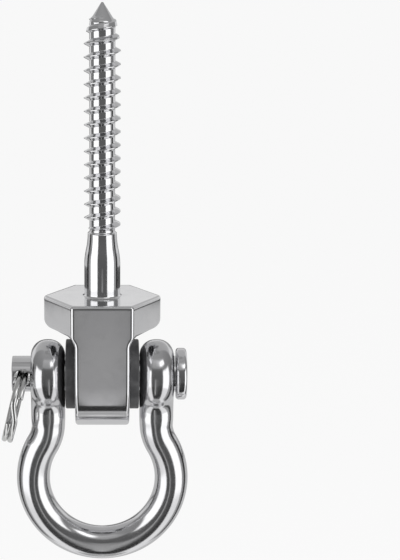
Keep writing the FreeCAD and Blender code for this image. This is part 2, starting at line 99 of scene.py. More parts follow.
@dataclass
class Skin:
    """Points and four-cornered faces of a surface, in millimetres.

    Attributes:
        points: Array of points, one row each.
        faces: Array of four point numbers for each face.
    """

    points: np.ndarray
    faces: np.ndarray

    @classmethod
    def from_grid(cls, grid: np.ndarray, closed_rows: bool = False,
                  closed_columns: bool = False) -> "Skin":
        """Join each point of a grid to its neighbours along the rows and the columns.

        Args:
            grid: Array of rows by columns by three.
            closed_rows: Whether the last row joins the first.
            closed_columns: Whether the last column joins the first.

        Returns:
            The skin of the grid.
        """
        rows, columns = grid.shape[:2]
        index = np.arange(rows * columns).reshape(rows, columns)
        if closed_rows:
            index = np.vstack([index, index[:1]])
        if closed_columns:
            index = np.hstack([index, index[:, :1]])
        quads = np.stack([index[:-1, :-1], index[1:, :-1], index[1:, 1:], index[:-1, 1:]], -1)
        return cls(grid.reshape(-1, 3), quads.reshape(-1, 4))

    @staticmethod
    def join(skins: Sequence["Skin"]) -> "Skin":
        """Put several skins into one that has all their points and faces."""
        starts = np.cumsum([0] + [len(skin.points) for skin in skins[:-1]])
        return Skin(np.vstack([skin.points for skin in skins]),
                    np.vstack([skin.faces + start for skin, start in zip(skins, starts)]))

    def to_object(self, name: str) -> Object:
        """Make a smooth mesh object whose doubles are merged and whose faces point outwards.

        Args:
            name: Name of the piece.

        Returns:
            The object, at the origin.
        """
        mesh = bpy.data.meshes.new(name)
        mesh.from_pydata((self.points * MM).tolist(), [], self.faces.tolist())
        shell = bmesh.new()
        shell.from_mesh(mesh)
        bmesh.ops.remove_doubles(shell, verts=shell.verts, dist=MERGE)
        bmesh.ops.dissolve_degenerate(shell, dist=MERGE / 4, edges=shell.edges)
        bmesh.ops.recalc_face_normals(shell, faces=shell.faces)
        shell.to_mesh(mesh)
        shell.free()
        mesh.polygons.foreach_set("use_smooth", np.ones(len(mesh.polygons), bool))
        return put(name, mesh)


def at(*coordinates: object) -> np.ndarray:
    """Put coordinates side by side as points; a single number holds for every point."""
    return np.stack(np.broadcast_arrays(*coordinates), -1)


def circle(radius: float, angle: np.ndarray) -> np.ndarray:
    """Give points of a circle: the radius times the cosine and the sine of each angle."""
    return radius * at(np.cos(angle), np.sin(angle))


def arc(centre: Pair, radius: float, start: float, stop: float, count: int) -> np.ndarray:
    """Give a number of points of an arc from its first to its last angle, in degrees."""
    return np.array(centre) + circle(radius, np.radians(np.linspace(start, stop, count)))


def turned(profile: np.ndarray, count: int, axis: Axis, closed: bool = False) -> Skin:
    """Carry a profile round an axis: a point at radius r goes to r cos a, r sin a.

    Args:
        profile: Rows of radius and place along the axis.
        count: Number of columns round the axis.
        axis: The axis.
        closed: Whether the profile's last row joins its first.

    Returns:
        The turned skin.
    """
    angle = np.arange(count) * (2 * math.pi / count)
    radius, along = profile[:, :1], profile[:, 1:]
    across, up = radius * np.cos(angle), radius * np.sin(angle)
    if axis is Axis.SCREW:
        grid = at(across, up, along)
    elif axis is Axis.PIN:
        grid = at(along, across, PIN_Z + up)
    else:
        grid = at(HOLE_X + across, along, PIN_Z + up)
    return Skin.from_grid(grid, closed, True)


def drill(radius: float, reach: float, axis: Axis) -> Skin:
    """Give a drill that reaches as far to both sides of the hook's middle."""
    profile = at((0, radius, radius, 0), (-reach, -reach, reach, reach))
    return turned(profile, DRILL_COLUMNS, axis)


def eased(share: np.ndarray) -> np.ndarray:
    """Give a smooth step from 0 to 1: 3 s s - 2 s s s, held between its ends."""
    held = np.clip(share, 0, 1)
    return held * held * (3 - 2 * held)


def close_to_ends(length: np.ndarray, count: int, near: float) -> np.ndarray:
    """Place points on edges so that they crowd within a distance of both ends.

    Args:
        length: Length of each edge.
        count: Number of points in each half of an edge.
        near: Distance in which points crowd, at most half of the edge.

    Returns:
        Shares of the length, edges by points, without the last end.
    """
    ladder = np.linspace(0, 1, count)
    inner = np.minimum(near, length[:, None] / 2) * ladder
    share = inner / np.maximum(length[:, None], TINY)
    share = np.where(length[:, None] < TINY, ladder / 2, share)
    return np.hstack([share, 1 - share[:, :0:-1]])


# ---- shader maths


class Value:
    """A number socket that takes part in Python arithmetic."""

    def __init__(self, graph: "Graph", socket: Socket) -> None:
        """Hold a socket of a graph."""
        self.graph = graph
        self.socket = socket

    def _math(self, operation: str, first: object, second: object) -> "Value":
        """Add a Math node for an operation on two numbers or values."""
        node = self.graph.add("ShaderNodeMath", {"operation": operation}, {0: first, 1: second})
        return Value(self.graph, node.outputs[0])

    def __add__(self, other: object) -> "Value":
        """Add a number or value."""
        return self._math("ADD", self, other)

    __radd__ = __add__

    def __rsub__(self, other: object) -> "Value":
        """Take this away from a number or value."""
        return self._math("SUBTRACT", other, self)

    def __mul__(self, other: object) -> "Value":
        """Multiply by a number or value."""
        return self._math("MULTIPLY", self, other)

    __rmul__ = __mul__

    def __pow__(self, other: object) -> "Value":
        """Raise to a power."""
        return self._math("POWER", self, other)

    def larger(self, other: object) -> "Value":
        """Give the larger of two values."""
        return self._math("MAXIMUM", self, other)

    def step(self, low: float, high: float) -> "Value":
        """Give a smooth step from 0 at low to 1 at high."""
        node = self.graph.add("ShaderNodeMapRange", {"interpolation_type": "SMOOTHSTEP"},
                              {0: self, 1: low, 2: high})
        return Value(self.graph, node.outputs[0])


class Graph:
    """Node tree of a material or the world."""

    def __init__(self, tree: bpy.types.NodeTree) -> None:
        """Empty a tree and hold it."""
        self.tree = tree
        tree.nodes.clear()

    def add(self, kind: str, settings: Mapping[str, object] | None = None,
            inputs: Mapping[object, object] | None = None) -> Node:
        """Add a node.

        Args:
            kind: Type name of the node.
            settings: Properties that are set first.
            inputs: Numbers, colours or links by socket name or number.

        Returns:
            The node.
        """
        node = self.tree.nodes.new(kind)
        for word, setting in (settings or {}).items():
            setattr(node, word, setting)
        for word, given in (inputs or {}).items():
            socket = node.inputs[word]
            if isinstance(given, Value):
                self.tree.links.new(given.socket, socket)
            elif isinstance(given, Socket):
                self.tree.links.new(given, socket)
            else:
                socket.default_value = given
        return node

    def value(self, node: Node, output: object = 0) -> Value:
        """Wrap a node's output as a value."""
        return Value(self, node.outputs[output])

    def place(self) -> Socket:
        """Give the object coordinates."""
        return self.add("ShaderNodeTexCoord").outputs["Object"]

    def noise(self, where: Socket, scale: float, detail: float, roughness: float = 0.5) -> Value:
        """Add a noise of so many patches per unit; detail counts its octaves."""
        node = self.add("ShaderNodeTexNoise", {}, {
            "Vector": where, "Scale": scale, "Detail": detail, "Roughness": roughness})
        return self.value(node, "Fac")

    def mapped(self, where: Socket, scale: Triple, turn: Triple = (0, 0, 0),
               shift: Triple = (0, 0, 0)) -> Socket:
        """Stretch coordinates that are turned by degrees about a place in millimetres."""
        node = self.add("ShaderNodeMapping", {"vector_type": "TEXTURE"}, {
            "Vector": where, "Location": [part * MM for part in shift],
            "Rotation": [math.radians(part) for part in turn],
            "Scale": [1 / part for part in scale]})
        return node.outputs[0]

    def axes(self, where: Socket) -> list[Value]:
        """Split coordinates into three values."""
        node = self.add("ShaderNodeSeparateXYZ", {}, {0: where})
        return [self.value(node, number) for number in range(3)]

    def lathe_lines(self, radius: Value, along: Value, scale: float, detail: float) -> Value:
        """Add a noise that is the same all round an axis, with so many lines per metre."""
        where = self.add("ShaderNodeCombineXYZ", {}, {0: radius * scale, 1: along * scale})
        return self.noise(where.outputs[0], 1, detail, 0.6)

    def tint(self, share: Value, low: Triple, high: Triple) -> Socket:
        """Mix two colours by a value, the share of the second one."""
        node = self.add("ShaderNodeMix", {"data_type": "RGBA"}, {
            0: share, 6: (*low, 1.0), 7: (*high, 1.0)})
        return node.outputs[2]

    def bump(self, height: Value, strength: float, distance: float,
             below: Socket | None = None) -> Socket:
        """Add a bump whose distance is its height in metres, on the normal below if given."""
        under = {} if below is None else {"Normal": below}
        return self.add("ShaderNodeBump", {}, {
            "Height": height, "Strength": strength, "Distance": distance, **under}).outputs[0]

    def background_rays(self) -> Value:
        """Give 1 for rays that are seen, mirrored or passed on, and 0 for light on the object."""
        ray = self.add("ShaderNodeLightPath")
        seen, mirrored, passed = (self.value(ray, f"Is {kind} Ray")
                                  for kind in ("Camera", "Glossy", "Transmission"))
        return seen.larger(mirrored).larger(passed)

    def surface(self, inputs: Mapping[object, object]) -> None:
        """Show a Principled surface."""
        self.show(self.add("ShaderNodeBsdfPrincipled", {}, inputs))

    def mix(self, share: Value, first: Node, second: Node) -> Node:
        """Mix two shaders by a value, the share of the second one."""
        return self.add("ShaderNodeMixShader", {}, {
            0: share, 1: first.outputs[0], 2: second.outputs[0]})

    def show(self, shader: Node, kind: str = "ShaderNodeOutputMaterial") -> None:
        """Send a shader to the tree's output."""
        self.add(kind, {}, {0: shader.outputs[0]})


def blank(name: str) -> tuple[Material, Graph]:
    """Make a material with an empty node tree."""
    made = bpy.data.materials.new(name)
    made.use_nodes = True
    return made, Graph(made.node_tree)


# ---- finishes


@dataclass(frozen=True)
class PolishedSteel:
    """Polished stainless steel with faint handling marks, a slight wave and polishing lines."""

    name: str = "steel_polished"
    tone: Triple = (0.735, 0.735, 0.75)
    worn_tone: Triple = (0.78, 0.78, 0.79)
    gloss: float = 0.09
    haze: float = 0.07
    cloud_scale: float = 90
    smudge_scale: float = 260
    line_stretch: Triple = (5200, 5200, 420)
    line_turn: Triple = (18, 24, 0)
    cross_stretch: Triple = (520, 4300, 4300)
    cross_turn: Triple = (0, 8, 31)
    wave_height: float = 3e-5
    line_height: float = 1.2e-5

    def material(self) -> Material:
        """Build the material.

        Returns:
            The material.
        """
        made, graph = blank(self.name)
        where = graph.place()
        cloud = graph.noise(where, self.cloud_scale, 3)
        smudge = graph.noise(where, self.smudge_scale, 4, 0.62).step(0.46, 0.74)
        lines = graph.noise(graph.mapped(where, self.line_stretch, self.line_turn), 1, 3, 0.6)
        cross = graph.noise(graph.mapped(where, self.cross_stretch, self.cross_turn), 1, 2, 0.6)
        scratch = (lines * 0.6 + cross * 0.4).step(0.58, 0.76)
        rough = self.gloss + self.haze * smudge * 0.5 + self.haze * scratch * 0.6 + cloud * 0.03
        wave = graph.bump(cloud, 0.35, self.wave_height)
        graph.surface({
            "Base Color": graph.tint(cloud.step(0.3, 0.7), self.tone, self.worn_tone),
            "Metallic": 1.0, "Roughness": rough,
            "Normal": graph.bump(lines * 0.5 + cross * 0.5, 0.05, self.line_height, wave)})
        return made


@dataclass(frozen=True)
class SpringSteel:
    """Drawn and nickelled spring wire with lines that run round the ring."""

    name: str = "steel_spring"
    tone: Triple = (0.70, 0.70, 0.695)
    bright: Triple = (0.76, 0.76, 0.755)
    gloss: float = 0.14
    line_scale: float = 9000
    line_height: float = 1e-5
    smudge_scale: float = 420

    def material(self) -> Material:
        """Build the material; its lines depend on the distance from the ring's axis and the height.

        Returns:
            The material.
        """
        made, graph = blank(self.name)
        where = graph.place()
        own = graph.mapped(where, (1, 1, 1), (0, 90 + RING_LEAN, 0), RING_CENTRE)
        across, along, height = graph.axes(own)
        radius = (across * across + along * along) ** 0.5
        lines = graph.lathe_lines(radius, height, self.line_scale, 3)
        smudge = graph.noise(where, self.smudge_scale, 3, 0.6).step(0.5, 0.75)
        graph.surface({
            "Base Color": graph.tint(lines.step(0.35, 0.65), self.tone, self.bright),
            "Metallic": 1.0, "Roughness": self.gloss + lines * 0.08 + smudge * 0.05,
            "Normal": graph.bump(lines, 0.03, self.line_height)})
        return made


@dataclass(frozen=True)
class BlackNylon:
    """Turned black nylon with fine tool rings, grain and a dull sheen."""

    name: str = "nylon_black"
    tone: Triple = (0.040, 0.040, 0.042)
    dusty: Triple = (0.068, 0.068, 0.070)
    gloss: float = 0.36
    ring_scale: float = 7000
    ring_height: float = 2e-5
    grain_scale: float = 5200
    grain_height: float = 3e-5
    dust_scale: float = 330

    def material(self) -> Material:
        """Build the material; its tool rings depend on the distance from the pin's axis.

        Returns:
            The material.
        """
        made, graph = blank(self.name)
        where = graph.place()
        along, across, height = graph.axes(graph.mapped(where, (1, 1, 1), shift=(0, 0, PIN_Z)))
        radius = (across * across + height * height) ** 0.5
        rings = graph.lathe_lines(radius, along, self.ring_scale, 2)
        grain = graph.noise(where, self.grain_scale, 3, 0.65)
        dust = graph.noise(where, self.dust_scale, 4, 0.6).step(0.42, 0.72)
        grainy = graph.bump(grain, 0.22, self.grain_height)
        graph.surface({
            "Base Color": graph.tint(dust, self.tone, self.dusty),
            "Roughness": self.gloss + grain * 0.16 + dust * 0.1,
            "Normal": graph.bump(rings, 0.2, self.ring_height, grainy),
            "Specular IOR Level": 0.5})
        return made


# ---- sub-assemblies


def worked(piece: Object, tool: Skin, operation: str) -> None:
    """Cut a closed skin out of a piece, or weld it on.

    Args:
        piece: Piece that is worked on.
        tool: Skin of the drill or of the part that is added.
        operation: "DIFFERENCE" to cut or "UNION" to weld.
    """
    other = tool.to_object("tool")
    change = piece.modifiers.new("work", "BOOLEAN")
    change.operation = operation
    change.solver = "EXACT"
    change.object = other
    graph = bpy.context.evaluated_depsgraph_get()
    shape = bpy.data.meshes.new_from_object(piece.evaluated_get(graph))
    piece.modifiers.clear()
    old = piece.data
    piece.data = shape
    bpy.data.meshes.remove(old)
    bpy.data.objects.remove(other)
    shape.name = piece.name


class Piece:
    """One piece of the hook.

    Attributes:
        node: Node that the piece stands for.
        body: Body that it moves with.
        slot: Finish slot of the record; not used.
    """

    node: str
    body: Body
    slot: Slot

    def build(self) -> Object:
        """Build the bare piece."""
        raise NotImplementedError

    def dress(self, finish: Material) -> None:
        """Build the piece, give it its finish, and let it ride on its body for its node.

        Flat faces stay flat in the shading, and the rounded edges blend between them.

        Args:
            finish: Material.
        """
        piece = self.build()
        weighted = piece.modifiers.new("flats", "WEIGHTED_NORMAL")
        weighted.mode = "FACE_AREA"
        weighted.weight = 50
        piece.data.materials.append(finish)
        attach(piece, self.body.value)
        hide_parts(self.node)
        LOG.info("%s: %d faces on %s", piece.name, len(piece.data.polygons), self.body.value)


@dataclass
class LagScrew(Piece):
    """Screw, hex collar and tongue in one piece."""

    node: str = "lag_screw"
    body: Body = Body.HANGER
    slot: Slot = Slot.STEEL
    columns: int = 120
    length: float = 80.0
    crest: float = 5.0
    core: float = 3.5
    pitch: float = 3.63
    crest_half: float = 0.1
    root_half: float = 0.875
    root_soft: float = 0.22
    crest_start: float = 17.383
    turns: tuple[int, int] = (-2, 21)
    ridge_shares: tuple[float, ...] = (0, 0.016, 0.0275, 0.045, 0.08, 0.12, 0.16, 0.195, 0.22,
                                       0.24, 0.26, 0.285, 0.33, 0.4)
    lead_heights: tuple[float, ...] = (18.2, 19.8, 69.0, 75.4, 77.6, 78.0)
    lead_radii: tuple[float, ...] = (2.9, crest, crest, 3.75, 0.875, 0.0)
    thread_low: float = 18.2
    tip_low: float = 75.0
    tip_flat: float = 0.25
    root_low: float = -0.8
    seat_fillet: float = 0.7
    seat_sink: float = 0.02
    plain_heights: Pair = (1.2, 8.0)
    shank_high: float = 8.3
    neck: float = 4.0
    neck_high: float = 17.7
    step_out: Triple = (0.18, 0.04, 0.0)
    step_heights: Triple = (17.82, 17.98, thread_low)
    seam_turn: float = 1.3
    flats: float = 14.3
    collar_low: float = -8.8
    corner_round: float = 2.4
    tongue: float = 7.5
    tongue_fillet: float = 3.0
    web: float = 10.5
    edge_round: float = 0.9
    bore: float = 6.5
    bore_reach: float = 12.0
    crowd: tuple[float, ...] = (0, 0.1, 0.25, 0.45, 0.7, 1.0, 1.4)
    crowd_reach: float = 1.5
    top_shares: tuple[float, ...] = (0, 0.25, 0.5, 0.75, 0.88)
    probe: float = 0.01
    pulls: int = 12
    least_slope: float = 0.2

    @property
    def corner(self) -> float:
        """Give half of the collar's width over its corners."""
        return 2 * self.flats / math.sqrt(3)

    def thread_skin(self) -> Skin:
        """Carry the thread's profile along its helix.

        A point lies a share of a pitch from the crest and an angle round the screw. Its height is
        the crest's start plus the share and a pitch for each turn, as on a right-hand thread, and
        its radius is the larger of the core line and a ridge that falls evenly from the crest, cut
        off by the lead-in line. The crest's start is its height at the far side.

        Returns:
            The skin from the neck to the tip.
        """
        half = np.array(self.ridge_shares)
        shares = np.concatenate([[-0.5], -half[:0:-1], half])
        turns = np.arange(*self.turns)
        share = np.tile(shares, len(turns))
        rows = (turns[:, None] + shares).ravel() * self.pitch
        angle = np.linspace(0, 2 * math.pi, self.columns + 1)
        height = self.crest_start + rows[:, None] + self.pitch * (angle / (2 * math.pi) - 0.25)
        height = np.clip(height, self.thread_low, self.length)
        core = np.interp(height, [self.thread_low, self.tip_low, self.length],
                         [self.core, self.core, self.tip_flat])
        lead = np.interp(height, self.lead_heights, self.lead_radii)
        fall = (self.crest - self.core) / (self.root_half - self.crest_half)
        away = np.abs(share) * self.pitch - self.crest_half
        ridge = np.minimum(self.crest - fall * np.maximum(away, 0)[:, None], lead)
        blend = np.clip(0.5 + 0.5 * (ridge - core) / self.root_soft, 0, 1)
        radius = core + (ridge - core) * blend + self.root_soft * blend * (1 - blend)
        return Skin.from_grid(at(radius * np.cos(angle), radius * np.sin(angle), height))

    def shank_skin(self) -> Skin:
        """Turn the seat fillet, the plain shank, its waist and the step below the thread.

        Returns:
            The skin from inside the collar to the thread's start.
        """
        waist, drop = self.crest - self.neck, self.neck_high - self.shank_high
        bend = (waist ** 2 + drop ** 2) / (4 * waist)
        swell = math.degrees(math.asin(drop / 2 / bend))
        foot = self.crest + self.seat_fillet
        profile = np.vstack([
            at((0.0, foot), self.root_low),
            arc((foot, self.seat_fillet - self.seat_sink), self.seat_fillet, 270, 180, 9),
            at(self.crest, np.linspace(*self.plain_heights, 9)),
            arc((self.crest - bend, self.shank_high), bend, 0, swell, 16),
            arc((self.neck + bend, self.neck_high), bend, 180 + swell, 180, 16)[1:],
            at(self.core + np.array(self.step_out), self.step_heights),
        ])
        return turned(profile, self.columns, Axis.SCREW)

    def tip_skin(self) -> Skin:
        """Close the tip with a small disc."""
        return turned(at((self.tip_flat, 0.0), self.length), self.columns, Axis.SCREW)

    def block_distance(self, place: np.ndarray) -> np.ndarray:
        """Tell how far points are from the rounded block, below zero inside.

        The block is a rounded hexagon of the plan, cut by the front view's outline, by the
        tongue's round end in the side view, and by the top face. Two cuts a and b meet in a round
        of radius r where the length of (a + r, b + r) is r.

        Args:
            place: Points, with coordinates in the last axis.

        Returns:
            Distances.
        """
        x, y, z = np.abs(place[..., 0]), np.abs(place[..., 1]), place[..., 2]
        soft = self.edge_round
        inner = self.flats - soft
        lean = np.minimum(y * 0.5 - x * COS_30, 0) * 2
        hx, hy = x + lean * COS_30, y - lean * 0.5
        reach = inner / math.sqrt(3)
        hx = hx - np.clip(hx, -reach, reach)
        plan = np.hypot(hx, hy - inner) * np.sign(hy - inner) - soft
        low = z - PIN_Z
        side = np.where(low < 0, np.hypot(y, low), y) - self.flats
        body = np.maximum(plan, side)
        out, under = x - self.corner, self.collar_low - z
        bent = self.corner_round
        collar = (np.minimum(-bent, np.maximum(out, under))
                  + np.hypot(np.maximum(out + bent, 0), np.maximum(under + bent, 0)))
        web = x - self.tongue
        fill = self.tongue_fillet
        front = (np.maximum(fill, np.minimum(collar, web))
                 - np.hypot(np.maximum(fill - collar, 0), np.maximum(fill - web, 0)))
        parts = np.stack([body, front, z])
        worst = np.minimum(-soft, parts.max(0))
        return worst + np.sqrt((np.maximum(parts + soft, 0) ** 2).sum(0))

    def block_rows(self) -> tuple[np.ndarray, np.ndarray]:
        """List the level cuts through the sharp block, from its top's middle to the tongue's end.

        Returns:
            Rows of height, half width and share of the outline, and the half depth of each row.
        """
        corner, bent, fill = self.corner, self.corner_round, self.tongue_fillet
        low, seat = self.collar_low, self.tongue + self.tongue_fillet
        swing = np.radians(np.linspace(0, 90, 12))
        near = np.array(self.crowd)
        scale = np.concatenate([self.top_shares, 1 - near[::-1] / self.flats])
        level = np.concatenate([near[1:], np.linspace(2.2, -low - bent, 8)])
        drop = np.linspace(fill, self.web, 16)[1:]
        end = np.radians(np.concatenate([np.linspace(0, 84, 46), [86, 87.5, 89, 90]]))
        rows = np.vstack([
            at(0, corner * scale, scale),
            at(-level, corner, 1),
            at(low + bent - bent * np.sin(swing), corner - bent + bent * np.cos(swing), 1)[1:],
            at(low, np.linspace(corner - bent, seat, 9)[1:], 1),
            at(low - fill + fill * np.cos(swing), seat - fill * np.sin(swing), 1)[1:],
            at(low - drop, self.tongue, 1),
            at(PIN_Z - self.flats * np.sin(end), self.tongue, 1),
        ])
        deep = np.full(len(rows), self.flats)
        deep[-len(end):] *= np.cos(end)
        return rows, deep

    def block_skin(self) -> Skin:
        """Lay a grid on the sharp block and draw it onto the rounded one.

        Each row is a level cut through the sharp block, an eight-cornered outline whose points
        crowd at its corners. Newton steps then move each point along the slope of the distance.

        Returns:
            The skin of the collar and the tongue.
        """
        corner = self.corner
        rows, deep = self.block_rows()
        height, wide, scale = rows.T
        wide = np.where(scale < 1, corner, np.minimum(wide, corner))
        depth = np.minimum(deep, math.sqrt(3) * (corner - wide))
        quad = np.stack([at(wide, depth), at(np.minimum(wide, corner / 2), deep)], 1)
        mirror = np.array([-1, 1])
        ring = np.concatenate([quad, quad[:, ::-1] * mirror, -quad, -quad[:, ::-1] * mirror], 1)
        after = np.roll(ring, -1, 1)
        length = np.linalg.norm(after - ring, axis=-1)
        share = close_to_ends(length.ravel(), 8, self.crowd_reach).reshape(*length.shape, -1, 1)
        line = ring[:, :, None] * (1 - share) + after[:, :, None] * share
        line = line.reshape(len(rows), -1, 2) * scale[:, None, None]
        grid = at(line[..., 0], line[..., 1], height[:, None])
        for _ in range(self.pulls):
            here = self.block_distance(grid)
            slope = np.stack([self.block_distance(grid + self.probe * axis)
                              - self.block_distance(grid - self.probe * axis)
                              for axis in np.eye(3)], -1) / (2 * self.probe)
            steep = np.maximum((slope ** 2).sum(-1), self.least_slope)
            grid = grid - (here / steep)[..., None] * slope
        return Skin.from_grid(grid, closed_columns=True)

    def build(self) -> Object:
        """Weld the screw to the block, then bore the tongue.

        The screw is first turned a little, so that its grid lines cross the block's cleanly.

        Returns:
            The piece.
        """
        piece = self.block_skin().to_object("lag_screw_steel")
        screw = Skin.join([self.shank_skin(), self.thread_skin(), self.tip_skin()])
        turn = math.radians(self.seam_turn)
        spun = np.eye(3)
        spun[:2, :2] = [[math.cos(turn), math.sin(turn)], [-math.sin(turn), math.cos(turn)]]
        worked(piece, Skin(screw.points @ spun, screw.faces), "UNION")
        worked(piece, drill(self.bore, self.bore_reach, Axis.PIN), "DIFFERENCE")
        return piece


@dataclass
class FlangedBush(Piece):
    """Nylon bush whose sleeve fills half of the tongue's bore."""

    node: str
    hand: int
    body: Body = Body.HANGER
    slot: Slot = Slot.NYLON
    bore: float = 5.08
    sleeve: float = 6.48
    flange: float = 9.75
    inner_end: float = 0.25
    tongue: float = 7.5
    face: float = 10.2
    rim_round: float = 0.4
    mouth_round: float = 0.12
    columns: int = 128

    def build(self) -> Object:
        """Turn the closed profile of the bush about the pin's axis.

        Returns:
            The piece.
        """
        soft, mouth = self.rim_round, self.mouth_round
        rim = self.flange - soft
        loop = np.vstack([
            at(self.bore, (self.inner_end, 5.0, self.face - mouth)),
            arc((self.bore + mouth, self.face - mouth), mouth, 180, 90, 5)[1:],
            at(np.linspace(5.6, rim - 0.3, 8), self.face),
            arc((rim, self.face - soft), soft, 90, 0, 9),
            at(self.flange, np.linspace(9.5, 8.2, 3)),
            arc((rim, self.tongue + soft), soft, 0, -90, 9),
            at((8.0, self.sleeve), self.tongue),
            at(self.sleeve, (4.0, self.inner_end)),
        ])
        loop[:, 1] *= self.hand
        return turned(loop, self.columns, Axis.PIN, True).to_object(self.node + "_nylon")


@dataclass
class ClevisPin(Piece):
    """Turned pin with a rounded head, cross-drilled near its tail."""

    node: str = "clevis_pin"
    body: Body = Body.PIN
    slot: Slot = Slot.STEEL
    radius: float = 5.0
    head: float = 7.25
    head_face: float = 20.55
    head_top: float = 23.55
    head_round: float = 0.9
    head_fillet: float = 0.15
    tail: float = -25.23
    tail_round: float = 0.2
    plain_start: float = -24.9
    plain_rows: int = 60
    hole: float = 2.395
    hole_reach: float = 7.0
    hole_lip: float = 0.15
    lip_angle: float = 50.0
    columns: int = 144

    def build(self) -> Object:
        """Turn the pin, drill its cross hole and break the hole's edges.

        Returns:
            The piece.
        """
        soft, tail, fillet = self.head_round, self.tail_round, self.head_fillet
        plain = np.linspace(self.plain_start, self.head_face - 0.2, self.plain_rows)
        profile = np.vstack([
            at((0, 2.5, 4.4), self.tail),
            arc((self.radius - tail, self.tail + tail), tail, 270, 360, 6),
            at(self.radius, plain),
            arc((self.radius + fillet, self.head_face - fillet), fillet, 180, 90, 4),
            [[5.9, self.head_face]],
            arc((self.head - soft, self.head_face + soft), soft, 270, 360, 10),
            arc((self.head - soft, self.head_top - soft), soft, 0, 90, 10),
            at((5.0, 2.5, 0), self.head_top),
        ])
        piece = turned(profile, self.columns, Axis.PIN).to_object("clevis_pin_steel")
        worked(piece, drill(self.hole, self.hole_reach, Axis.HOLE), "DIFFERENCE")
        bevel = piece.modifiers.new("mouth", "BEVEL")
        bevel.width = self.hole_lip * MM
        bevel.segments = 2
        bevel.limit_method = "ANGLE"
        bevel.angle_limit = math.radians(self.lip_angle)
        return piece


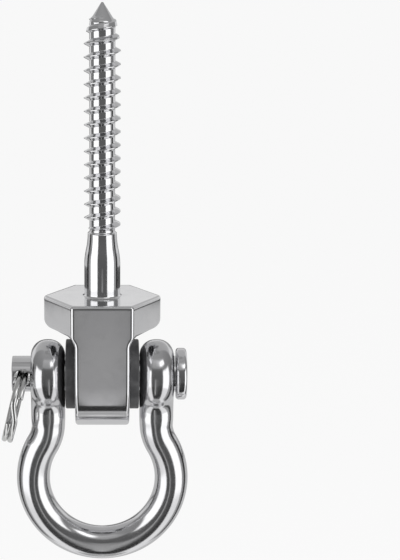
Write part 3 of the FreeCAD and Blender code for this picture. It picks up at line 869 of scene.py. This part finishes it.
@dataclass
class BowShackle(Piece):
    """Round bar bent to a bow, with a thick rounded eye forged on each end."""

    node: str = "bow_shackle"
    body: Body = Body.SHACKLE
    slot: Slot = Slot.STEEL
    bar: float = 4.7
    eye_middle: float = 15.25
    eye_half: float = 4.8
    eye: float = 9.7
    rim: float = 4.4
    bore: float = 5.2
    blend: float = 5.0
    blend_low: float = -10.957
    neck_low: float = -12.457
    neck_rows: int = 4
    leg_low: float = -14.5
    shoulder: float = 12.0
    bow: float = 19.65
    morph: float = 3.2

    def outline(self) -> tuple[np.ndarray, np.ndarray, np.ndarray]:
        """Give half of the keyhole outline of an eye in the side view, from its neck to its top.

        The outline is a straight neck, a hollow arc and the eye's circle.

        Returns:
            Points, outward directions, and the points inside that the side faces reach to.
        """
        touch = math.atan2(self.blend_low, self.eye_half + self.blend)
        line = np.linspace(self.neck_low, self.blend_low, self.neck_rows + 1)[:-1]
        hollow = np.linspace(math.pi, math.pi + touch, 20)
        ball = np.linspace(touch, math.pi / 2, 58)[1:]
        points = np.vstack([
            at(self.eye_half, line),
            at(self.eye_half + self.blend + self.blend * np.cos(hollow),
               self.blend_low + self.blend * np.sin(hollow)),
            circle(self.eye, ball)])
        out = np.vstack([at(1, 0 * line), -circle(1, hollow), circle(1, ball)])
        middle = np.linspace(self.neck_low, -self.bore, self.neck_rows + 1)[:-1]
        foot = np.linspace(-math.pi / 2, touch, 20)
        inside = np.vstack([at(0, middle), circle(self.bore, foot), circle(self.bore, ball)])
        return points, out, inside

    def rim_profile(self) -> tuple[np.ndarray, np.ndarray]:
        """Give the profile across an eye's rim: a quarter round, a narrow flat, a quarter round.

        Returns:
            Places across the eye and distances out from the rim's inner line.
        """
        swing = np.radians(np.linspace(90, 0, 17))
        flat = self.eye_half - self.rim
        across = flat + self.rim * np.sin(swing)
        out = self.rim * np.cos(swing)
        return np.concatenate([across, -across[::-1]]), np.concatenate([out, out[::-1]])

    def eye_skins(self, hand: int) -> list[Skin]:
        """Carry the rim's profile along the outline and close it with side faces and a bore.

        Args:
            hand: -1 for the left eye, 1 for the right one.

        Returns:
            The skins of one eye.
        """
        points, out, inside = self.outline()
        across, reach = self.rim_profile()
        base = points - self.rim * out
        middle = hand * self.eye_middle
        depth = np.linspace(-self.eye_half, self.eye_half, 7)
        share = np.linspace(0, 1, 3)[None, :, None]
        rim = base[:, None] + reach[None, :, None] * out[:, None]
        face = base[:, None] * (1 - share) + inside[:, None] * share
        wall = inside[self.neck_rows:, None]
        sheets = [(across, rim), (self.eye_half, face), (-self.eye_half, face), (depth, wall)]
        return [Skin.from_grid(at(middle + place, way * sheet[..., 0], sheet[..., 1] + PIN_Z))
                for way in (1, -1) for place, sheet in sheets]

    def path(self) -> tuple[np.ndarray, np.ndarray]:
        """Give the bow's middle line from the left eye's neck to the right one's.

        It is a straight leg, a shoulder arc that bends outwards, the bow's circle, and the same
        back.

        Returns:
            Points and directions in the front view.
        """
        reach, out = self.bow + self.shoulder, self.eye_middle + self.shoulder
        bow_middle = self.leg_low - math.sqrt(reach * reach - out * out)
        meet = math.acos(out / reach)
        leg = np.linspace(self.neck_low, self.leg_low, 6)[:-1]
        bend = np.linspace(0, meet, 20)[:-1]
        swing = np.linspace(math.pi - meet, 1.5 * math.pi, 90)
        points = np.vstack([
            at(-self.eye_middle, leg),
            at(-out + self.shoulder * np.cos(bend), self.leg_low - self.shoulder * np.sin(bend)),
            at(self.bow * np.cos(swing), bow_middle + self.bow * np.sin(swing))])
        ways = np.vstack([
            at(0 * leg, -1),
            at(-np.sin(bend), -np.cos(bend)),
            at(-np.sin(swing), np.cos(swing))])
        back = points[-2::-1] * np.array([-1, 1])
        back_ways = ways[-2::-1] * np.array([1, -1])
        return np.vstack([points, back]), np.vstack([ways, back_ways])

    def bow_skin(self) -> Skin:
        """Carry a round section along the bow; near the eyes it eases into the neck's section.

        Returns:
            The skin of the bow between the two necks.
        """
        across, reach = self.rim_profile()
        flat = self.eye_half - self.rim
        front = at(across, flat + reach)
        side = at(-self.eye_half, flat / 2 * np.array([1, 0, -1]))
        neck = np.vstack([front, side, (front * [1, -1])[::-1], -side])
        bar = circle(self.bar, np.arctan2(neck[:, 1], neck[:, 0]))
        points, ways = self.path()
        gone = np.concatenate([[0], np.cumsum(np.linalg.norm(np.diff(points, axis=0), axis=1))])
        ends = np.minimum(gone, gone[-1] - gone)
        share = eased(ends / self.morph)[:, None, None]
        section = neck * (1 - share) + bar * share
        inward = at(-ways[:, 1], ways[:, 0])
        place = points[:, None] + section[..., :1] * inward[:, None]
        grid = at(place[..., 0], section[..., 1], place[..., 1] + PIN_Z)
        return Skin.from_grid(grid, closed_columns=True)

    def build(self) -> Object:
        """Join the bow and its two eyes."""
        skins = [self.bow_skin(), *self.eye_skins(-1), *self.eye_skins(1)]
        return Skin.join(skins).to_object("bow_shackle_steel")


@dataclass
class SplitRing(Piece):
    """Flat wire of almost two turns that steps from one layer to the next."""

    node: str = "split_ring"
    body: Body = Body.RING
    slot: Slot = Slot.SPRING
    radius: float = 9.95
    wire_high: float = 1.55
    wire_wide: float = 1.7
    wire_round: float = 0.66
    layer_gap: float = 0.06
    step: float = 36.0
    end_gap: float = 5.0
    end_inset: float = 0.82
    turn: float = 285.0
    layer_rows: int = 130
    step_rows: int = 28

    def section(self) -> np.ndarray:
        """Give the wire's section, a rectangle with rounded corners.

        Returns:
            Rows of distance out from the middle line and height.
        """
        soft = self.wire_round
        wide, high = self.wire_wide / 2 - soft, self.wire_high / 2 - soft
        corners = ((wide, high), (-wide, high), (-wide, -high), (wide, -high))
        return np.vstack([arc(corner, soft, 90 * number, 90 * number + 90, 7)
                          for number, corner in enumerate(corners)])

    def skin(self) -> Skin:
        """Carry the section round the ring, with an eased rise between the layers.

        Returns:
            The skin, with its two ends closed.
        """
        full, step = 2 * math.pi, math.radians(self.step)
        stop = full - step - math.radians(self.end_gap)
        first = np.linspace(0, full - step, self.layer_rows)
        rise = np.linspace(full - step, full, self.step_rows)[1:]
        second = full + np.linspace(0, stop, self.layer_rows)[1:]
        angle = np.concatenate([first, rise, second])
        layer = (self.wire_high + self.layer_gap) / 2
        height = layer * (2 * eased((angle - (full - step)) / step) - 1)
        angle = angle + math.radians(self.turn)
        section = self.section()
        inner = section * self.end_inset
        rows = np.concatenate([[section * 0, inner], np.repeat(section[None], len(angle), 0),
                               [inner, section * 0]])
        angle, height = np.pad(angle, 2, "edge")[:, None], np.pad(height, 2, "edge")[:, None]
        radius, up = self.radius + rows[..., 0], rows[..., 1] + height
        out = radius * np.cos(angle)
        turn = math.radians(90 + RING_LEAN)
        grid = at(out * math.cos(turn) + up * math.sin(turn), radius * np.sin(angle),
                  up * math.cos(turn) - out * math.sin(turn))
        return Skin.from_grid(grid + np.array(RING_CENTRE), closed_columns=True)

    def build(self) -> Object:
        """Make the ring of its skin."""
        return self.skin().to_object("split_ring_wire")


# ---- studio


@dataclass(frozen=True)
class Card:
    """Curved studio card that only polished surfaces see.

    Attributes:
        name: Name of the card.
        radius: Distance from its centre, in metres.
        sides: First and last azimuth in degrees, 0 towards the camera and positive to the right.
        rises: Lowest and highest elevation in degrees.
        levels: Brightness at the lowest and the highest edge, where 1 is white.
        soft: Degrees over which the sides and the lower and upper edges fade.
        centre: Height of the card's centre on the screw's axis, in metres.
        columns: Number of points across.
        rows: Number of points up.
    """

    name: str
    radius: float
    sides: Pair
    rises: Pair
    levels: Pair
    soft: Pair
    centre: float = -0.02
    columns: int = 33
    rows: int = 17

    def mesh(self) -> bpy.types.Mesh:
        """Lay a grid on part of a sphere, by azimuth across and elevation up.

        Returns:
            The mesh, which holds the shares of its width and height as "across" and "up".
        """
        across, up = np.linspace(0, 1, self.columns), np.linspace(0, 1, self.rows)[:, None]
        side = np.radians(np.linspace(*self.sides, self.columns))
        rise = np.radians(np.linspace(*self.rises, self.rows))[:, None]
        grid = self.radius * at(np.sin(side) * np.cos(rise), -np.cos(side) * np.cos(rise),
                                np.sin(rise))
        skin = Skin.from_grid(grid + np.array([0, 0, self.centre]))
        mesh = bpy.data.meshes.new(self.name)
        mesh.from_pydata(skin.points.tolist(), [], skin.faces.tolist())
        shares = at(across, up).reshape(-1, 2).astype(np.float32)
        for word, share in zip(("across", "up"), shares.T):
            mesh.attributes.new(word, "FLOAT", "POINT").data.foreach_set("value", share.copy())
        return mesh

    def material(self) -> Material:
        """Let the card glow, with edges that fade to clear.

        Returns:
            The material.
        """
        made, graph = blank(self.name)
        across, up = (graph.value(graph.add("ShaderNodeAttribute", {"attribute_name": word}), "Fac")
                      for word in ("across", "up"))
        masks = []
        for share, fade, (low, high) in zip((across, up), self.soft, (self.sides, self.rises)):
            edge = fade / (high - low)
            masks.append(share.step(0, edge) * (1 - share).step(0, edge))
        low, high = self.levels
        glow = graph.add("ShaderNodeEmission", {}, {
            "Color": graph.tint(up, (low, low, low), (high, high, high))})
        clear = graph.add("ShaderNodeBsdfTransparent")
        graph.show(graph.mix(masks[0] * masks[1], clear, glow))
        return made

    def build(self) -> None:
        """Put up the card, unseen but in mirrored rays."""
        card = put(self.name, self.mesh())
        card.data.materials.append(self.material())
        card.visible_camera = False
        card.visible_diffuse = False
        card.visible_shadow = False
        card.visible_transmission = False


@dataclass(frozen=True)
class Lamp:
    """Soft area lamp that points at the hook."""

    name: str
    place: Triple
    size: float
    power: float

    def build(self) -> None:
        """Add the lamp."""
        light = bpy.data.lights.new(self.name, "AREA")
        light.size = self.size
        light.energy = self.power
        lamp = put(self.name, light)
        lamp.location = self.place
        lamp.visible_glossy = False
        x, y, z = self.place
        lamp.rotation_euler = (math.atan2(math.hypot(x, y), z), 0, math.atan2(x, -y))


@dataclass
class Studio:
    """White sweep, soft lamps, dark and grey cards, and the camera of the photograph."""

    floor: float = -0.4
    floor_half: float = 30.0
    floor_glow: float = 0.9
    paper: Triple = (0.90, 0.90, 0.90)
    pale_paper: Triple = (0.93, 0.93, 0.93)
    fill: float = 0.35
    camera_place: Triple = (0.0, -0.39126, 0.08748)
    camera_pitch: float = 12.0
    lens: float = 92.77
    sensor: float = 36.0
    shift: float = 0.1745
    clip: Pair = (0.01, 60.0)
    cards: tuple[Card, ...] = (
        Card("tongue_card", 0.20, (-4.3, 4.3), (-60, -3), (0.58, 0.32), (0.4, 2)),
        Card("spot_card", 0.30, (6, 60), (33, 58), (1.9, 1.9), (14, 9)),
        Card("front_low_card", 0.335, (-33, 34), (-80, -24), (0.03, 0.06), (5, 6)),
        Card("front_card", 0.34, (-33, 34), (-34, 34), (0.09, 0.15), (4, 8)),
        Card("brow_card", 0.345, (-36, 40), (22, 66), (0.30, 0.60), (8, 10)),
        Card("lintel_card", 0.35, (-122, 122), (6, 89), (0.22, 0.40), (6, 5)),
        Card("left_softbox", 0.347, (-80, -29), (-34, 24), (1.5, 1.5), (3, 6)),
        Card("right_softbox", 0.347, (30, 80), (-34, 24), (1.5, 1.5), (3, 6)),
        Card("left_flag", 0.352, (-114, -95), (-66, 24), (0.03, 0.03), (2, 8)),
        Card("right_flag", 0.352, (95, 114), (-66, 24), (0.03, 0.03), (2, 8)),
        Card("left_side_card", 0.3535, (-102, -74), (-70, 26), (0.40, 0.34), (5, 8)),
        Card("right_side_card", 0.3535, (74, 102), (-70, 26), (0.40, 0.34), (5, 8)),
        Card("ceiling_card", 0.348, (-180, 180), (80, 90), (0.26, 0.26), (0.01, 4)),
        Card("rear_upper_card", 0.365, (112, 248), (22, 88), (0.55, 0.45), (6, 6)),
        Card("rear_middle_card", 0.368, (108, 252), (2, 28), (0.80, 0.80), (6, 4)),
        Card("back_card", 0.37, (110, 250), (-73, 6), (0.66, 0.60), (6, 4)),
        Card("under_card", 0.33, (-180, 180), (-90, -77), (0.46, 0.44), (0.01, 3)),
        Card("left_screw_flag", 0.362, (178, 214), (-7, 14), (0.13, 0.13), (5, 2)),
        Card("right_screw_flag", 0.3625, (146, 182), (-7, 14), (0.34, 0.30), (5, 2)),
        Card("left_shank_card", 0.36, (-165, -100), (-10, -6), (0.12, 0.12), (8, 1)),
        Card("right_shank_card", 0.36, (100, 165), (-10, -6), (0.06, 0.06), (8, 1)),
    )
    lamps: tuple[Lamp, ...] = (
        Lamp("key", (0.35, -0.95, 0.40), 0.40, 7.0),
        Lamp("left", (-1.0, -0.62, 0.15), 0.6, 4.0),
        Lamp("right", (1.0, -0.62, 0.15), 0.6, 4.0),
        Lamp("top", (0.1, 0.5, 1.2), 0.6, 1.5),
    )

    def build_world(self) -> None:
        """Make the world white where it shows and a plain fill where it lights."""
        world = bpy.data.worlds.new("white_room")
        world.use_nodes = True
        bpy.context.scene.world = world
        graph = Graph(world.node_tree)
        fill = graph.add("ShaderNodeBackground", {}, {0: WHITE, 1: self.fill})
        white = graph.add("ShaderNodeBackground", {}, {0: WHITE, 1: 1.0})
        graph.show(graph.mix(graph.background_rays(), fill, white), "ShaderNodeOutputWorld")

    def build_floor(self) -> None:
        """Lay a pale floor that takes a soft shadow and looks white where nothing shades it."""
        reach = np.linspace(-self.floor_half, self.floor_half, 21)
        floor = Skin.from_grid(at(reach[:, None], reach, self.floor) / MM).to_object("studio_floor")
        made, graph = blank("studio_floor")
        speck = graph.noise(graph.place(), 60, 3)
        paper = graph.add("ShaderNodeBsdfPrincipled", {}, {
            "Base Color": graph.tint(speck, self.paper, self.pale_paper), "Roughness": 0.8})
        white = graph.add("ShaderNodeEmission", {}, {0: WHITE, 1: 1.0})
        graph.show(graph.mix(graph.background_rays() * self.floor_glow, paper, white))
        floor.data.materials.append(made)

    def build_camera(self) -> None:
        """Set the camera where the photograph was taken from."""
        lens = bpy.data.cameras.new("photo_camera")
        lens.lens = self.lens
        lens.sensor_width = self.sensor
        lens.shift_x = self.shift
        lens.clip_start, lens.clip_end = self.clip
        camera = put("photo_camera", lens)
        camera.location = self.camera_place
        camera.rotation_euler = (math.radians(90 - self.camera_pitch), 0, 0)
        bpy.context.scene.camera = camera

    def build(self) -> None:
        """Build the whole studio."""
        bpy.context.scene.view_settings.view_transform = "Standard"
        self.build_world()
        self.build_floor()
        self.build_camera()
        for item in (*self.cards, *self.lamps):
            item.build()


def main() -> None:
    """Build every piece in order, then the studio."""
    logging.basicConfig(level=logging.INFO, format="%(message)s")
    steel = PolishedSteel().material()
    forged = PolishedSteel("steel_forged", tone=(0.66, 0.66, 0.675), worn_tone=(0.72, 0.72, 0.73),
                           gloss=0.13).material()
    nylon = BlackNylon().material()
    spring = SpringSteel().material()
    LagScrew().dress(steel)
    FlangedBush("left_bush", -1).dress(nylon)
    FlangedBush("right_bush", 1).dress(nylon)
    ClevisPin().dress(steel)
    BowShackle().dress(forged)
    SplitRing().dress(spring)
    Studio().build()


if __name__ == "__main__":
    main()
